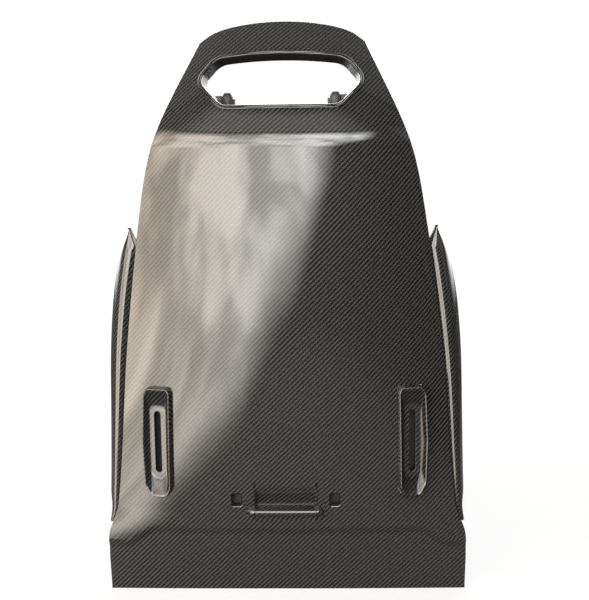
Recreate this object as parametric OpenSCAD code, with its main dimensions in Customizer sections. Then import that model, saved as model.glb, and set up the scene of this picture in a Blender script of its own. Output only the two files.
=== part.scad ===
// Rear shell of a bucket racing seat: a moulded laminate panel with two side wings,
// a framed head opening, two slotted bezels, a centre pull and the fixings inside.
// The rear face looks along -Y and the shell stands on its bottom edge at Z = 0.

/* [Shell outline] */
// Height from the bottom edge to the top of the head section
shell_h = 880; // [800:5:1000]
// Width across the skirt at the bottom edge
skirt_w = 556; // [530:2:640]
// Width between the seams at the waist
waist_w = 522; // [500:2:560]
// Width between the seams at mid back
back_w = 480; // [440:2:540]
// Width of the panel at the shoulders
shoulder_w = 418; // [380:2:460]
// Width of the panel at the neck
neck_w = 378; // [340:2:410]
// Width across the upper corners of the head section
head_w = 256; // [240:2:290]
// Height of the waist above the bottom edge
waist_z = 142; // [135:1:160]
// Height of mid back above the bottom edge
back_z = 390; // [350:5:430]
// Drop from the top down to the shoulders
shoulder_drop = 270; // [250:5:300]
// Drop from the top down to the neck
neck_drop = 185; // [175:1:200]
// Drop from the top down to the upper corners
corner_drop = 33; // [20:1:40]

/* [Shell section] */
// Thickness of the laminate skin
skin_t = 2.5; // [1.6:0.1:4]
// How far the bottom edge sits forward of the rearmost line
lower_sweep = 48; // [20:1:70]
// Height of the rearmost line of the back
flat_z = 640; // [560:5:680]
// Length of the head section that leans forward, down from the top
head_len = 190; // [180:1:200]
// How far the top edge leans forward
head_lean = 165; // [120:1:190]
// Forward roll of the panel edges at mid back
back_crown = 48; // [30:1:60]
// Forward roll of the edges of the head section
head_crown = 28; // [15:1:40]
// Forward roll of the ends of the skirt
skirt_crown = 3; // [0:1:20]
// Height of the crease above the skirt
crease_z = 101; // [90:1:112]
// Forward step of the skirt below the crease
crease_step = 7; // [3:0.5:12]
// How far the crease drops near the ends
crease_drop = 24; // [10:1:40]

/* [Side wings] */
// Height of the lower end of each wing
wing_z0 = 113; // [108:1:125]
// Height of the free upper tip of each wing
wing_z1 = 570; // [540:5:590]
// How far a wing stands out beyond the seam at its widest
wing_out = 36; // [24:1:48]
// How far a wing wraps forward at its deepest
wing_wrap = 74; // [50:1:100]
// Width of the wing's bonding lap behind the panel
wing_lap = 14; // [8:1:20]
// Width of a wing at its lower end
wing_foot = 5; // [2:0.5:8]
// Length of the notch between the wing's tip and the panel
notch_len = 30; // [15:1:50]
// Width of the notch at the wing's tip
notch_w = 15; // [8:1:20]

/* [Head opening] */
// Width across the side corners of the opening
open_w = 248; // [220:2:262]
// Width of the opening's straight lower edge
open_low_w = 172; // [150:2:190]
// Width between the opening's upper corners
open_top_w = 196; // [170:2:210]
// Drop from the top of the shell to the opening's lower edge
open_drop = 133; // [125:1:145]
// Height of the side corners above the lower edge
open_side_h = 38; // [30:1:45]
// Height of the upper corners above the lower edge
open_corner_h = 68; // [60:1:72]
// Height of the middle of the upper edge above the lower edge
open_h = 79; // [74:1:84]
// Depth of the rim's walls
rim_depth = 35; // [20:1:45]
// Wall thickness of the rim
rim_t = 2.2; // [1.5:0.1:3]
// Width of the rim's bead on the rear face
bead_w = 5; // [3:0.5:8]
// Height of the rim's bead
bead_h = 2.4; // [1.5:0.1:4]
// How far the rim narrows from mouth to back at each side
rim_draft_x = 5; // [2:0.5:14]
// How far the rim narrows at the top
rim_draft_z = 8; // [4:0.5:12]

/* [Slot bezels] */
// Distance from the centre line to each slot
slot_x = 193; // [184:1:200]
// Height of the middle of the slots
slot_z = 245; // [235:1:260]
// Length of each slot
slot_len = 96; // [80:1:110]
// Width of each slot
slot_w = 10; // [8:0.5:14]
// Overall length of each bezel
bezel_len = 172; // [160:1:190]
// Overall width of each bezel
bezel_w = 48; // [42:1:54]
// How far the bezel stands proud of the panel
bezel_rise = 11; // [7:0.5:16]
// Width of the flat floor round the slot
floor_w = 24; // [20:0.5:28]
// Wall thickness of the bezel
bezel_t = 2.4; // [1.8:0.1:3]
// Depth of the bezel's edge that passes through the panel
bezel_skirt = 7; // [5:0.5:9]
// How far the bezel's floor lies below the panel's rear face
floor_sink = 2; // [1:0.5:3]
// Length of the flat floor beyond each end of the slot
floor_end = 4; // [3:0.5:8]
// Length of the sloping well beyond each end of the slot
well_end = 24; // [16:1:28]
// Wall of the liner pocket
liner_t = 1.6; // [1.2:0.1:2.4]
// Depth of the liner pocket behind each slot
liner_depth = 22; // [15:1:30]

/* [Centre pull] */
// Height of the crest of the pull's roll
pull_z = 135; // [130:1:145]
// Width of the roll
pull_w = 120; // [100:2:130]
// Height of the scoop above the roll
scoop_h = 40; // [32:1:46]
// Width of the scoop
scoop_w = 92; // [80:1:100]
// Depth of the scoop
scoop_depth = 13; // [8:0.5:18]
// How far the roll stands proud of the panel
roll_rise = 9; // [6:0.5:12]
// Radius of the roll
roll_r = 6; // [4.5:0.5:7]
// Margin of the flush plate above the scoop
pull_margin = 7; // [5:0.5:9]
// Distance from the centre line to the clip windows
window_x = 75; // [73:0.5:80]
// Width of each clip window
window_w = 14; // [10:0.5:18]
// Height of each clip window
window_h = 20; // [16:0.5:24]
// Height of the middle of the clip windows
window_z = 154; // [150:1:160]
// Depth of the box behind each clip window
clip_box_depth = 18; // [12:1:24]
// Width of the seat of each clip box round its window
clip_box_rim = 3; // [2.5:0.5:4]
// Wall of each clip box
clip_box_t = 1.5; // [1.2:0.1:2.2]

/* [Upright guides] */
// Distance between the axes of the two guide sleeves
guide_pitch = 162; // [150:1:168]
// Bore of each guide sleeve
guide_bore = 12.2; // [10:0.1:13]
// Wall of each guide sleeve
guide_wall = 2.6; // [2:0.1:3.5]
// Length of each guide bore
guide_bore_len = 55; // [40:1:62]
// Distance between the two ear holes
ear_pitch = 188; // [184:1:192]
// Diameter of the ear holes
ear_hole = 5.5; // [4.5:0.1:6.5]
// Distance from each ear hole to the outer edge of its plate
ear_out = 14; // [11:0.5:16]
// Drop from the top of the guides to the ear holes
ear_drop = 15; // [12:0.5:18]
// Drop from the top of the shell to the top of the guides
guide_drop = 112; // [108:1:118]
// Thickness of the guide plates
guide_t = 3; // [2.5:0.1:4]
// Height of each bonded foot
foot_h = 46; // [36:1:50]
// Wall of each bonded foot
foot_t = 3; // [2:0.1:4]
// Radius of the screw that holds each guide to its foot
screw_r = 2; // [1.5:0.1:2.5]
// Depth of the screw's hole
screw_len = 16; // [12:1:20]

/* [Fixings inside] */
// Diameter of the thread core in the bonded inserts
insert_core = 5; // [4:0.1:6.6]
// Depth of the thread in the bonded inserts
insert_len = 12; // [9:1:18]
// Distance between the two insert columns
insert_pitch = 380; // [340:2:400]
// Height of the lower inserts
insert_low_z = 52; // [46:1:60]
// Height of the upper inserts
insert_high_z = 352; // [348:1:380]
// Width of each insert's base pad
insert_pad = 34; // [28:1:40]
// Radius of each insert's collar
collar_r = 6.5; // [5.5:0.5:8]
// Distance from the centre line to the clip towers
tower_x = 128; // [115:1:135]
// Height of the lower clip towers
tower_low_z = 330; // [300:5:360]
// Height of the upper clip towers
tower_high_z = 580; // [560:5:600]
// Height of a clip tower above the skin
tower_h = 26; // [20:1:34]
// Width of a clip tower's base
tower_w = 30; // [26:1:34]
// Length of a clip tower's base
tower_l = 38; // [30:1:44]
// Width of a clip tower's column
tower_top_w = 22; // [18:1:24]
// Width of the spring clips
clip_w = 12; // [8:1:14]
// Thickness of the spring clips
clip_t = 0.8; // [0.6:0.1:1]
// Distance from the centre line to the frame hooks
hook_x = 120; // [100:1:140]
// Height of the middle of the frame hooks
hook_z = 38; // [34:1:44]
// Width of a frame hook
hook_w = 24; // [18:1:30]
// How far a frame hook reaches forward
hook_reach = 26; // [22:1:32]
// Distance from the centre line to the foam strips
foam_x = 172; // [165:1:176]
// Height of the middle of the foam strips
foam_z = 470; // [455:1:490]
// Width of the foam strips
foam_w = 22; // [16:1:26]
// Length of the foam strips
foam_len = 150; // [100:5:170]
// Thickness of the foam strips
foam_t = 12; // [8:1:16]
// Clearance round a piece that is bonded into a cut-out
bond_gap = 0.2; // [0.1:0.05:0.4]
// Thickness of the adhesive bed under a piece that is bonded to the skin
bond_bed = 0.7; // [0.6:0.1:1.2]

/* [Hidden] */
$fn = 48;
eps = 0.01;

// Shape constants of the shell
sweep_power = 1.6;
lean_power = 1.55;
crown_power = 2.4;
crease_run = 15;
arch_drop = 19;
flare_z = 92;
neck_z = shell_h - head_len;
crown_reach = 1.4;

// Widths of the panel as half widths against height
WIDTHS = [
    [0, skirt_w / 2], [flare_z, skirt_w / 2 - 1], [waist_z, waist_w / 2],
    [back_z, back_w / 2], [shell_h - shoulder_drop, shoulder_w / 2],
    [shell_h - neck_drop, neck_w / 2], [shell_h - corner_drop, head_w / 2],
    [shell_h, head_w / 2 - 8]
];
// Forward roll of the panel's edges against height
CROWNS = [
    [0, skirt_crown], [crease_z, skirt_crown + 9], [back_z, back_crown],
    [neck_z, back_crown - 3], [shell_h, head_crown]
];

function clamp01(a) = max(0, min(1, a));
function smooth(a) = let (c = clamp01(a)) c * c * (3 - 2 * c);
function mix(a, b, t) = a + (b - a) * t;

// Smooth curve through the stations of a list of [position, value]
function station(p, z) =
    max(concat([0], [for (k = [1:len(p) - 2]) if (z >= p[k][0]) k]));
function slope_at(p, k) =
    let (a = max(0, k - 1), b = min(len(p) - 1, k + 1))
    (p[b][1] - p[a][1]) / (p[b][0] - p[a][0]);
function curve(p, z) =
    let (k = station(p, z), h = p[k + 1][0] - p[k][0], t = (z - p[k][0]) / h)
    p[k][1] * (1 + 2 * t) * (1 - t) * (1 - t) + h * slope_at(p, k) * t * (1 - t) * (1 - t)
    + p[k + 1][1] * t * t * (3 - 2 * t) - h * slope_at(p, k + 1) * t * t * (1 - t);

// Rear face of the panel: y for a given x and z
function half_w(z) = curve(WIDTHS, z);
function centre_y(z) =
    lower_sweep * pow(max(0, (flat_z - z) / flat_z), sweep_power)
    + head_lean * pow(max(0, (z - neck_z) / (shell_h - neck_z)), lean_power);
function crease_at(x) = crease_z - crease_drop * smooth((abs(x) - 205) / 45);
function step_y(x, z) = crease_step * smooth((crease_at(x) - z) / crease_run + 0.5);
function rear_y(x, z) =
    centre_y(z) + step_y(x, z)
    + curve(CROWNS, z) * pow(min(crown_reach, abs(x) / half_w(z)), crown_power);
function dy_dx(x, z) = (rear_y(x + 1, z) - rear_y(x - 1, z)) / 2;
function dy_dz(x, z) = (rear_y(x, z + 1) - rear_y(x, z - 1)) / 2;
// Distance along Y that gives a normal distance d below the rear face
function along_y(x, z, d) = d * sqrt(1 + pow(dy_dx(x, z), 2) + pow(dy_dz(x, z), 2));
function inner_y(x, z) = rear_y(x, z) + along_y(x, z, skin_t);

// The panel's grid: u runs across, v runs up, and the upper rows follow the arched top
COLS = [for (i = [-22:22]) i / 22];
ROWS = concat([for (i = [0:9]) i * 0.016], [for (i = [0:23]) 0.16 + i * 0.026],
    [for (i = [0:14]) 0.784 + i * 0.0154], [1]);
function top_fall(u, v) =
    (arch_drop * u * u + (corner_drop - arch_drop) * pow(abs(u), 10))
    * pow(clamp01((v - 0.85) / 0.15), 1.5);
function grid_z(u, v) = shell_h * v - top_fall(u, v);
function grid_xz(u, v) = let (z = grid_z(u, v)) [u * half_w(z), z];
SHELL_OUT = [for (v = ROWS) [for (u = COLS) let (p = grid_xz(u, v)) [p[0], rear_y(p[0], p[1]), p[1]]]];
SHELL_IN = [for (v = ROWS) [for (u = COLS) let (p = grid_xz(u, v)) [p[0], inner_y(p[0], p[1]), p[1]]]];
depth = max([for (row = SHELL_IN) for (p = row) p[1]]);
y_shift = -depth / 2;

carbon = "#1c1e20";
black_plastic = "#16171a";
zinc = "#b9bdc2";
foam = "#2b2b2d";

// Closed skin between two grids of points that have the same rows and columns
module skin(outer, inner) {
    rows = len(outer);
    cols = len(outer[0]);
    n = rows * cols;
    pts = concat([for (r = outer) for (p = r) p], [for (r = inner) for (p = r) p]);
    faces = concat(
        [for (j = [0:rows - 2]) for (i = [0:cols - 2]) let (a = j * cols + i)
            each [[a, a + 1, a + cols + 1], [a, a + cols + 1, a + cols]]],
        [for (j = [0:rows - 2]) for (i = [0:cols - 2]) let (a = n + j * cols + i)
            each [[a, a + cols + 1, a + 1], [a, a + cols, a + cols + 1]]],
        [for (i = [0:cols - 2]) let (a = i, b = (rows - 1) * cols + i)
            each [[a, n + a + 1, a + 1], [a, n + a, n + a + 1],
                  [b, b + 1, n + b + 1], [b, n + b + 1, n + b]]],
        [for (j = [0:rows - 2]) let (a = j * cols, b = a + cols - 1)
            each [[a, a + cols, n + a + cols], [a, n + a + cols, n + a],
                  [b, n + b + cols, b + cols], [b, n + b, n + b + cols]]]);
    polyhedron(points = pts, faces = [for (f = faces) [f[0], f[2], f[1]]], convexity = 8);
}

// Moves a piece from shell coordinates to the part's own frame
module placed() {
    translate([0, y_shift, 0]) children();
}

module mirrored(side) {
    if (side > 0) children();
    else mirror([1, 0, 0]) children();
}

// Prism along Y over an outline given in x and z
module prism_y(points, y0, y1) {
    translate([0, y1, 0]) rotate([90, 0, 0]) linear_extrude(height = y1 - y0) polygon(points);
}

// Outline with each corner of a convex polygon replaced by an arc of its own radius
function unit(v) = v / norm(v);
function rounded(pts, radii, steps = 6) =
    let (n = len(pts)) [for (i = [0:n - 1])
        let (p = pts[i], a = unit(pts[(i + n - 1) % n] - p), b = unit(pts[(i + 1) % n] - p),
             half = acos(a * b) / 2, c = p + unit(a + b) * radii[i] / sin(half),
             s = p + a * radii[i] / tan(half) - c, e = p + b * radii[i] / tan(half) - c,
             turn = atan2(s[0] * e[1] - s[1] * e[0], s * e))
        for (k = [0:steps])
            let (w = turn * k / steps) c + [s[0] * cos(w) - s[1] * sin(w), s[0] * sin(w) + s[1] * cos(w)]];
function rect(w, h, r, x = 0, z = 0, steps = 4) =
    rounded([[x - w / 2, z - h / 2], [x + w / 2, z - h / 2], [x + w / 2, z + h / 2], [x - w / 2, z + h / 2]],
        [r, r, r, r], steps);

// Block that seats on the inside of the skin and ends at a flat front face
module seated_block(x0, x1, z0, z1, y1, nx = 3, nz = 4) {
    rear = [for (j = [0:nz]) [for (i = [0:nx])
        let (x = mix(x0, x1, i / nx), z = mix(z0, z1, j / nz))
        [x, inner_y(x, z) + along_y(x, z, bond_bed), z]]];
    front = [for (row = rear) [for (p = row) [p[0], y1, p[2]]]];
    skin(rear, front);
}

// ---- Head opening ----
open_z = shell_h - open_drop;
open_round = [22, 16, 26, 26, 16, 22];
function open_corners() = [
    [-open_low_w / 2, 0], [-open_w / 2, open_side_h], [-open_top_w / 2, open_corner_h],
    [open_top_w / 2, open_corner_h], [open_w / 2, open_side_h], [open_low_w / 2, 0]];
// The straight upper side is raised into an arc
function arched(p) =
    let (t = clamp01((p[1] - open_side_h) / (open_corner_h - open_side_h)))
    [p[0], p[1] + t * (open_h - open_corner_h) * (1 - pow(2 * p[0] / open_top_w, 2) * 0.6)];
function outline() =
    let (c = rounded(open_corners(), open_round, 5))
    [for (i = [0:len(c) - 1]) let (p = c[i], q = c[(i + 1) % len(c)], parts = max(1, floor(norm(q - p) / 16)))
        for (k = [0:parts - 1]) arched(mix(p, q, k / parts))];
OPENING = outline();
function outward(k) =
    let (n = len(OPENING), t = unit(OPENING[(k + 1) % n] - OPENING[(k + n - 1) % n])) [-t[1], t[0]];
function grown(d) = [for (k = [0:len(OPENING) - 1]) OPENING[k] + outward(k) * d];

module back_shell() {
    color(carbon) placed() difference() {
        skin(SHELL_OUT, SHELL_IN);
        translate([0, 0, open_z]) prism_y(grown(rim_t / 2 + bond_gap), -20, 220);
        for (side = [-1, 1]) {
            bezel_frame(side) prism_y(bezel_outline(bond_gap), -20, 25);
            prism_y(rect(window_w, window_h, 2, side * window_x, window_z), -10, 80);
        }
        prism_y(pull_outline(bond_gap), 0, 80);
    }
}

// ---- Side wings ----
// Distance from the seam to the wing's outer edge, and its forward wrap, against height
function wing_span() = wing_z1 - wing_z0;
WING_OUT = [[wing_z0, wing_foot], [wing_z0 + 0.11 * wing_span(), wing_out * 0.52],
    [wing_z0 + 0.43 * wing_span(), wing_out * 0.84], [wing_z0 + 0.74 * wing_span(), wing_out],
    [wing_z0 + 0.91 * wing_span(), wing_out * 0.8], [wing_z1, notch_w + 1]];
WING_WRAP = [[wing_z0, 8], [wing_z0 + 0.2 * wing_span(), wing_wrap * 0.78],
    [wing_z0 + 0.5 * wing_span(), wing_wrap], [wing_z0 + 0.8 * wing_span(), wing_wrap * 0.86], [wing_z1, 12]];
wing_start = -22;
function notch(z) = notch_w * clamp01((z - wing_z1 + notch_len) / notch_len);
function lap(z) = max(1, wing_lap * clamp01((wing_z1 - z) / (2 * notch_len)));
// Point and inward normal on the rear face of a wing; s runs from the lap's edge to the free edge
function wing_lap_point(z, a) =
    let (x = half_w(z) + notch(z) - lap(z) * (1 - a), m = dy_dx(x, z))
    [[x, rear_y(x, z) + along_y(x, z, skin_t + bond_bed)], unit([-m, 1])];
function wing_blade_point(z, a) =
    let (w = curve(WING_OUT, z) - notch(z), d = curve(WING_WRAP, z), q = wing_start + a * (90 - wing_start),
         o = wing_lap_point(z, 1)[0], k = w / (1 - sin(wing_start)))
    [[o[0] + k * (sin(q) - sin(wing_start)), o[1] + d * (cos(wing_start) - cos(q))],
     unit([-d * sin(q), k * cos(q)])];
LAP_STEPS = [0, 0.5, 1];
BLADE_STEPS = [for (i = [1:11]) i / 11];
WING_ROWS = [for (i = [0:30]) mix(wing_z0, wing_z1, i / 30)];
function wing_row(z, t) = [for (q = concat([for (a = LAP_STEPS) wing_lap_point(z, a)],
    [for (a = BLADE_STEPS) wing_blade_point(z, a)])) let (p = q[0] + q[1] * t) [p[0], p[1], z]];

module wing(side) {
    color(carbon) placed() mirrored(side)
        skin([for (z = WING_ROWS) wing_row(z, 0)], [for (z = WING_ROWS) wing_row(z, skin_t)]);
}
module left_wing() { wing(-1); }
module right_wing() { wing(1); }

// ---- Head rim: a bead on the rear face and a drafted wall that runs forward ----
function rim_point(k, o, d) =
    let (t = clamp01(d / rim_depth), p = OPENING[k], q = p + outward(k) * o,
         sx = 1 - t * 2 * rim_draft_x / open_w, sz = 1 - t * rim_draft_z / open_h,
         r = [q[0] * sx, q[1] * sz])
    [r[0], rear_y(q[0], q[1] + open_z) + d, r[1] + open_z];
rim_in = -rim_t / 2;
rim_out = rim_t / 2;
function bead_lift(k, o, h) = let (p = OPENING[k] + outward(k) * o) -along_y(p[0], p[1] + open_z, h);
RIM_SECTION = [for (k = [0:len(OPENING) - 1]) [
    rim_point(k, bead_w, bead_lift(k, bead_w, bond_bed)),
    rim_point(k, bead_w, bead_lift(k, bead_w, bead_h * 0.6)),
    rim_point(k, bead_w * 0.6, bead_lift(k, bead_w * 0.6, bead_h)),
    rim_point(k, 0, bead_lift(k, 0, bead_h)),
    rim_point(k, rim_in, bead_lift(k, rim_in, bead_h * 0.4)),
    rim_point(k, rim_in, rim_depth / 2), rim_point(k, rim_in, rim_depth),
    rim_point(k, rim_out, rim_depth), rim_point(k, rim_out, rim_depth / 2),
    rim_point(k, rim_out, bead_lift(k, rim_out, bond_bed))]];

module head_rim() {
    n = len(RIM_SECTION);
    m = len(RIM_SECTION[0]);
    color(carbon) placed() polyhedron(
        points = [for (r = RIM_SECTION) for (p = r) p],
        faces = [for (k = [0:n - 1]) for (i = [0:m - 1])
            let (a = k * m + i, b = k * m + (i + 1) % m,
                 c = ((k + 1) % n) * m + (i + 1) % m, d = ((k + 1) % n) * m + i)
            each [[a, c, b], [a, d, c]]],
        convexity = 8);
}

// ---- Slot bezels ----
// A bezel's own frame: origin on the panel, its Y axis square to the panel
slot_turn = atan(dy_dx(slot_x, slot_z));
slot_pitch = -atan(dy_dz(slot_x, slot_z));
module bezel_frame(side) {
    mirrored(side) translate([slot_x, rear_y(slot_x, slot_z), slot_z])
        rotate([0, 0, slot_turn]) rotate([-slot_pitch, 0, 0]) children();
}
function bezel_outline(grow = 0) =
    let (w = bezel_w / 2 + grow, h = bezel_len / 2 + grow)
    rounded([[-w * 0.6, -h], [w * 0.45, -h], [w * 0.9, -h * 0.78], [w, 0], [w * 0.85, h * 0.88],
        [w * 0.6, h], [-w * 0.85, h], [-w, h * 0.9], [-w * 0.94, 0], [-w * 0.9, -h * 0.85]],
        [10, 10, 14, 40, 8, 6, 6, 6, 40, 14], 3);
// The recess is stepped: a wide well down to half the depth, then the flat floor round the slot
well_depth = (bezel_rise - floor_sink) / 2;
well_step = 4;
function well(grow = 0) =
    rect(floor_w + 2 * (well_step + grow), slot_len + 2 * (well_end + grow), 8);
function floor_outline(grow = 0) = rect(floor_w + 2 * grow, slot_len + 2 * (floor_end + grow), 8);
module slot_bezel(side) {
    color(carbon) placed() bezel_frame(side) difference() {
        prism_y(bezel_outline(), -bezel_rise, bezel_skirt);
        prism_y(well(), -bezel_rise - 1, well_depth - bezel_rise);
        prism_y(floor_outline(), -bezel_rise - 1, -floor_sink);
        difference() {
            prism_y(bezel_outline(-bezel_t), -bezel_rise + bezel_t, bezel_skirt + 1);
            prism_y(well(bezel_t), -bezel_rise, well_depth - bezel_rise + bezel_t);
            prism_y(floor_outline(bezel_t), -bezel_rise, bezel_t - floor_sink);
        }
        prism_y(rect(slot_w, slot_len, slot_w / 2 - eps, steps = 8), -bezel_rise - 1, bezel_skirt + 1);
    }
}
module left_slot_bezel() { slot_bezel(-1); }
module right_slot_bezel() { slot_bezel(1); }

// Closed black pocket behind each slot
module slot_liner(side) {
    y0 = bezel_t - floor_sink + bond_gap;
    color(black_plastic) placed() bezel_frame(side) difference() {
        prism_y(floor_outline(), y0, y0 + liner_depth);
        prism_y(floor_outline(-liner_t), y0 - 1, y0 + liner_depth - liner_t);
    }
}
module left_slot_liner() { slot_liner(-1); }
module right_slot_liner() { slot_liner(1); }

// ---- Centre pull: a flush plate, a scoop that deepens downward and a roll under it ----
pull_low = pull_z - 2 * pull_margin;
pull_high = pull_z + scoop_h + pull_margin;
function pull_outline(grow = 0) =
    rect(pull_w + 2 * grow, pull_high - pull_low + 2 * grow, 8, 0, (pull_high + pull_low) / 2);
// The pull's section is drawn in y and z and run along X
module along_x(w) {
    translate([-w / 2, 0, 0]) rotate([90, 0, 90]) linear_extrude(height = w) children();
}
function plate_y(z) = mix(rear_y(0, pull_low), rear_y(0, pull_high), (z - pull_low) / (pull_high - pull_low));
module centre_pull() {
    roll_y = plate_y(pull_z) - roll_rise + roll_r;
    floor_y = plate_y(pull_z) + scoop_depth;
    scoop_top = pull_z + scoop_h;
    scoop_low = pull_z + roll_r;
    color(carbon) placed() {
        difference() {
            intersection() {
                prism_y(pull_outline(), -20, 80);
                along_x(pull_w) polygon([[plate_y(pull_low), pull_low], [plate_y(pull_high), pull_high],
                    [plate_y(pull_high) + skin_t, pull_high], [plate_y(pull_low) + skin_t, pull_low]]);
            }
            translate([-scoop_w / 2, 0, pull_z]) cube([scoop_w, 80, scoop_h]);
        }
        along_x(scoop_w + 2 * skin_t) polygon([[plate_y(scoop_top), scoop_top], [floor_y, scoop_low],
            [roll_y, pull_z], [roll_y, pull_z - roll_r], [floor_y + skin_t, pull_z - roll_r / 2],
            [floor_y + skin_t, scoop_low], [plate_y(scoop_top) + skin_t, scoop_top + skin_t]]);
        for (side = [-1, 1]) translate([side * (scoop_w + skin_t) / 2, 0, 0])
            along_x(skin_t) polygon([[plate_y(scoop_top), scoop_top + 1], [floor_y + 1, scoop_low],
                [floor_y + 1, pull_z], [plate_y(pull_z), pull_z]]);
        along_x(pull_w - 2 * roll_r) {
            translate([roll_y, pull_z]) circle(r = roll_r);
            polygon([[roll_y, pull_z - roll_r], [plate_y(pull_z) + 1, pull_z - roll_r - 2],
                [plate_y(pull_z) + 1, pull_z + 1], [roll_y, pull_z + 1]]);
        }
        for (side = [-1, 1]) translate([side * (pull_w / 2 - roll_r), roll_y, pull_z])
            rotate([0, side * 90, 0]) cylinder(r1 = roll_r, r2 = roll_r / 2, h = roll_r - 1);
    }
}

// Plastic box behind each clip window
module clip_box(side) {
    x = side * window_x;
    w = window_w / 2 + clip_box_rim;
    h = window_h / 2 + clip_box_rim;
    y0 = bond_bed + max([for (a = [-w, w]) for (b = [-h, h]) inner_y(x + a, window_z + b)]);
    color(black_plastic) placed() difference() {
        prism_y(rect(2 * w, 2 * h, 3, x, window_z), y0, y0 + clip_box_depth);
        prism_y(rect(2 * (w - clip_box_t), 2 * (h - clip_box_t), 2, x, window_z),
            y0 - 1, y0 + clip_box_depth - clip_box_t);
    }
}
module left_clip_box() { clip_box(-1); }
module right_clip_box() { clip_box(1); }

// ---- Upright guides: a bonded foot that carries a screwed plate with an ear hole and a sleeve ----
guide_top = shell_h - guide_drop;
foot_drop = 12;
boss_wall = 2.5;
screw_gap = 0.1;
guide_y = rear_y(ear_pitch / 2 + ear_out, guide_top) + rim_depth + 1;
foot_z = open_z - foot_drop - foot_h;

ear_z = guide_top - ear_drop;
screw_z = foot_z + foot_h / 2;
sleeve_r = guide_bore / 2 + guide_wall;
foot_x0 = guide_pitch / 2 + sleeve_r + 1;
foot_x1 = ear_pitch / 2 + ear_out;
screw_x = (foot_x0 + foot_x1) / 2;
module guide_foot(side) {
    y1 = guide_y - bond_gap;
    base = foot_t + max([for (x = [foot_x0, foot_x1]) for (z = [foot_z, foot_z + foot_h]) inner_y(x, z)]);
    color(black_plastic) placed() mirrored(side) difference() {
        union() {
            seated_block(foot_x0, foot_x1, foot_z, foot_z + foot_h, base);
            for (x = [foot_x0, foot_x1 - foot_t])
                translate([x, base - 1, foot_z]) cube([foot_t, y1 - base + 1, foot_h]);
            for (z = [foot_z, foot_z + foot_h - foot_t]) translate([foot_x0, base - 1, z])
                cube([foot_x1 - foot_x0, y1 - base + 1, foot_t]);
            translate([foot_x0, y1 - foot_t, foot_z]) cube([foot_x1 - foot_x0, foot_t, foot_h]);
            translate([screw_x, y1 - screw_len - 2, screw_z]) rotate([-90, 0, 0]) 
                cylinder(r = screw_r + boss_wall, h = screw_len + 2);
        }
        translate([screw_x, y1 - screw_len, screw_z]) rotate([-90, 0, 0])
            cylinder(r = screw_r, h = screw_len + 1);
    }
}
module left_guide_foot() { guide_foot(-1); }
module right_guide_foot() { guide_foot(1); }

module upright_guide(side) {
    gx = guide_pitch / 2;
    ex = ear_pitch / 2;
    r = sleeve_r;
    color(black_plastic) placed() mirrored(side) difference() {
        union() {
            translate([gx, guide_y, foot_z]) cube([foot_x1 - gx, guide_t, guide_top - foot_z - 4]);
            translate([gx, guide_y, guide_top - 8]) cube([foot_x1 - gx, 14, 4]);
            translate([gx, guide_y, foot_z]) cylinder(r = r, h = guide_top - foot_z - 6);
            translate([gx, guide_y, guide_top - 6]) cylinder(r1 = r, r2 = r - 4, h = 6);
            translate([gx - r - 3, guide_y, foot_z]) cube([r + 3, r, guide_top - foot_z - 9]);
        }
        translate([gx, guide_y, foot_z - 1]) cylinder(d = guide_bore, h = guide_bore_len + 1);
        translate([ex, guide_y - 1, ear_z]) rotate([-90, 0, 0]) cylinder(d = ear_hole, h = guide_t + 2);
        translate([screw_x, guide_y - 1, screw_z]) rotate([-90, 0, 0]) 
            cylinder(r = screw_r + 3 * screw_gap, h = guide_t + 2);
    }
}
module left_upright_guide() { upright_guide(-1); }
module right_upright_guide() { upright_guide(1); }

// Pan-head screw that holds each guide to its foot
screw_head_r = 4;
screw_head_h = 2.8;
module guide_screws() {
    color(zinc) placed() for (side = [-1, 1])
        translate([side * screw_x, guide_y + guide_t + screw_gap, screw_z]) rotate([90, 0, 0]) {
            cylinder(r = screw_r - screw_gap, h = screw_len - 2);
            translate([0, 0, -screw_head_h]) difference() {
                cylinder(r = screw_head_r, h = screw_head_h);
                translate([0, 0, -1]) cylinder(r = 1.2, h = 2);
            }
        }
}

// ---- Bonded inserts: a base pad and a threaded collar ----
module inserts(z) {
    x = insert_pitch / 2;
    pad = insert_pad;
    for (side = [-1, 1]) {
        y1 = max(inner_y(x - pad / 2, z), inner_y(x + pad / 2, z), inner_y(x, z - pad / 2),
            inner_y(x + pad / 2, z - pad / 2)) + 1.5;
        mirrored(side) difference() {
            union() {
                seated_block(x - pad / 2, x + pad / 2, z - pad / 2, z + pad / 2, y1);
                translate([x, y1 - 1, z]) rotate([-90, 0, 0])
                    cylinder(r = collar_r, h = insert_len + 1);
            }
            translate([x, y1, z]) rotate([-90, 0, 0]) cylinder(d = insert_core, h = insert_len + 1);
        }
    }
}
module lower_inserts() { color(zinc) placed() inserts(insert_low_z); }
module upper_inserts() { color(zinc) placed() inserts(insert_high_z); }

// ---- Clip towers and their spring clips ----
// A clip's two legs lie either side of its middle plane and stand in a pocket of the tower
clip_half = 2.4;
clip_room = 0.6;
clip_seat = 15;
clip_barb = 6;
function tower_y(z) = inner_y(tower_x, z) + tower_h;
module tower(side, z) {
    y1 = tower_y(z);
    base = max([for (b = [-1, 1]) inner_y(tower_x + tower_w / 2, z + b * tower_l / 2)]);
    color(black_plastic) placed() mirrored(side) difference() {
        union() {
            seated_block(tower_x - tower_w / 2, tower_x + tower_w / 2,
                z - tower_l / 2, z + tower_l / 2, base + 4);
            translate([tower_x - tower_top_w / 2, base + 3, z - tower_top_w / 2])
                cube([tower_top_w, y1 - base - 3, tower_top_w]);
        }
        translate([tower_x - clip_w / 2 - 1, y1 - clip_seat - 1, z - clip_half - clip_room])
            cube([clip_w + 2, clip_seat + 2, 2 * (clip_half + clip_room)]);
    }
}
module low_left_tower() { tower(-1, tower_low_z); }
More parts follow.
